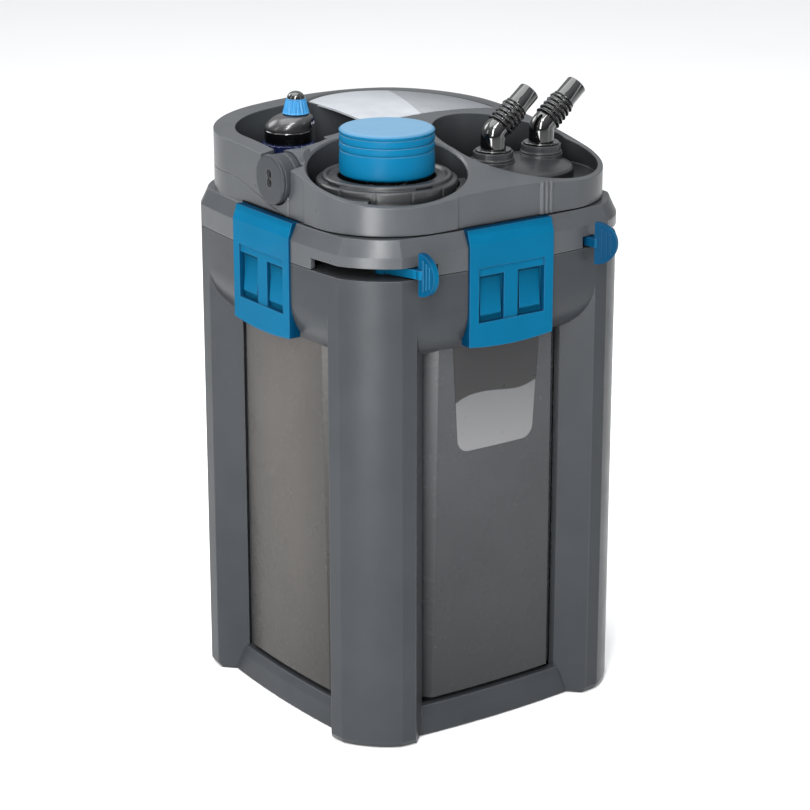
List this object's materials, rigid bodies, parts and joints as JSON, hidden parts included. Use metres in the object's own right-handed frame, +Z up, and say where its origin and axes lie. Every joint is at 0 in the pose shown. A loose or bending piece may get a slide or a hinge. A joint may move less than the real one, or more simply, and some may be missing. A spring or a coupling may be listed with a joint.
{
  "type": "aquarium canister filter",
  "caption": "External aquarium canister filter with clip-on head, primer cap over a pre-filter column, plug-in heater and a hose adapter with ribbed hose tails.",
  "frame": {"origin": "on the floor, under the centre of the body", "axes": "+Z up; -Y is the front, the side with the label; -X is the side with the cable gland"},
  "size_m": [0.2606, 0.2772, 0.4699],
  "materials": {
    "frame_plastic": "satin, fine texture",
    "tub_plastic": "satin, smoke tinted",
    "light_cover": "glossy",
    "blue_plastic": "semi gloss",
    "black_plastic": "glossy",
    "inner_plastic": "matte",
    "label_film": "printed film",
    "rubber_parts": "matte",
    "steel_parts": "bright",
    "ceramic_parts": "matte",
    "foam_blue": "open cell foam",
    "foam_orange": "open cell foam",
    "heater_metal": "dark, satin"
  },
  "bodies": {
    "canister_unit": {"outer_frame": "frame_plastic", "canister": "tub_plastic", "base_skirt": "frame_plastic", "foot_pads": "rubber_parts", "shield_label": "label_film", "basket_lower": "inner_plastic", "basket_middle": "inner_plastic", "basket_upper": "inner_plastic", "ceramic_media": "ceramic_parts", "coarse_foam": "foam_blue", "fine_foam": "foam_orange"},
    "head_unit": {"head_base": "frame_plastic", "head_cover": "frame_plastic", "rear_plate": "light_cover", "head_seal": "rubber_parts", "head_screws": "steel_parts", "latch_pins": "steel_parts", "lever_pins": "steel_parts", "cable_gland": "frame_plastic", "gland_grommet": "rubber_parts", "gland_screw": "steel_parts", "motor_housing": "inner_plastic", "pump_cover": "inner_plastic", "rotor_shaft": "ceramic_parts", "shaft_bushes": "rubber_parts"},
    "latch_left": {"latch_left": "blue_plastic"},
    "latch_front": {"latch_front": "blue_plastic"},
    "latch_right": {"latch_right": "blue_plastic"},
    "latch_rear": {"latch_rear": "blue_plastic"},
    "lever_left": {"lift_lever_left": "blue_plastic"},
    "lever_right": {"lift_lever_right": "blue_plastic"},
    "prefilter": {"prefilter_head": "frame_plastic", "prefilter_cage": "inner_plastic", "prefilter_foam": "foam_blue", "prefilter_riser": "inner_plastic", "prefilter_seal": "rubber_parts", "primer_spring": "steel_parts"},
    "lock_ring": {"lock_ring": "frame_plastic"},
    "primer": {"primer_cap": "blue_plastic", "primer_piston": "inner_plastic"},
    "heater": {"heater_tube": "heater_metal", "heater_ring": "blue_plastic", "heater_head": "black_plastic", "heater_core": "ceramic_parts"},
    "knob": {"heater_knob": "blue_plastic", "knob_tip": "black_plastic"},
    "adapter": {"hose_adapter": "frame_plastic", "adapter_seals": "rubber_parts", "collar_nuts": "frame_plastic", "elbow_seals": "rubber_parts"},
    "elbow_inlet": {"elbow_inlet": "black_plastic"},
    "elbow_outlet": {"elbow_outlet": "black_plastic"},
    "impeller": {"impeller_rotor": "inner_plastic"}
  },
  "joints": [
    {"name": "head_lift", "type": "slide", "parent": "canister_unit", "child": "head_unit", "axis": [0, 0, 1], "range_m": [0, 0.3]},
    {"name": "latch_left_open", "type": "hinge", "parent": "head_unit", "child": "latch_left", "pos_m": [-0.1236, 0, 0.381], "axis": [0, 1, 0], "range_deg": [0, 100]},
    {"name": "latch_front_open", "type": "hinge", "parent": "head_unit", "child": "latch_front", "pos_m": [0, -0.1236, 0.381], "axis": [-1, 0, 0], "range_deg": [0, 100]},
    {"name": "latch_right_open", "type": "hinge", "parent": "head_unit", "child": "latch_right", "pos_m": [0.1236, 0, 0.381], "axis": [0, -1, 0], "range_deg": [0, 100]},
    {"name": "latch_rear_open", "type": "hinge", "parent": "head_unit", "child": "latch_rear", "pos_m": [0, 0.1236, 0.381], "axis": [1, 0, 0], "range_deg": [0, 100]},
    {"name": "lever_left_turn", "type": "hinge", "parent": "head_unit", "child": "lever_left", "pos_m": [-0.091, -0.1, 0.3631], "axis": [0, 0, -1], "range_deg": [0, 65]},
    {"name": "lever_right_turn", "type": "hinge", "parent": "head_unit", "child": "lever_right", "pos_m": [0.092, -0.106, 0.3631], "axis": [0, 0, 1], "range_deg": [0, 60]},
    {"name": "prefilter_lift", "type": "slide", "parent": "head_unit", "child": "prefilter", "axis": [0, 0, 1], "range_m": [0, 0.34]},
    {"name": "lock_ring_turn", "type": "hinge", "parent": "prefilter", "child": "lock_ring", "pos_m": [-0.06, -0.06, 0.41], "axis": [0, 0, -1], "range_deg": [0, 35]},
    {"name": "primer_press", "type": "slide", "parent": "prefilter", "child": "primer", "axis": [0, 0, -1], "range_m": [0, 0.013], "stiffness_N_per_m": 300, "springref_m": -0.004, "deforming": ["primer_spring"]},
    {"name": "heater_lift", "type": "slide", "parent": "head_unit", "child": "heater", "axis": [0, 0, 1], "range_m": [0, 0.35]},
    {"name": "knob_turn", "type": "hinge", "parent": "heater", "child": "knob", "pos_m": [-0.0591, 0.0605, 0.446], "axis": [0, 0, -1], "range_deg": [0, 270]},
    {"name": "adapter_lift", "type": "slide", "parent": "head_unit", "child": "adapter", "axis": [0, 0, 1], "range_m": [0, 0.06]},
    {"name": "inlet_turn", "type": "hinge", "parent": "adapter", "child": "elbow_inlet", "pos_m": [0.03505, -0.06, 0.41], "axis": [0, 0, 1], "range_deg": [-100, 100]},
    {"name": "outlet_turn", "type": "hinge", "parent": "adapter", "child": "elbow_outlet", "pos_m": [0.07955, -0.06, 0.41], "axis": [0, 0, 1], "range_deg": [-100, 100]},
    {"name": "impeller_spin", "type": "hinge", "parent": "head_unit", "child": "impeller", "pos_m": [0.048, 0.05, 0.37], "axis": [0, 0, 1], "continuous": true}
  ]
}
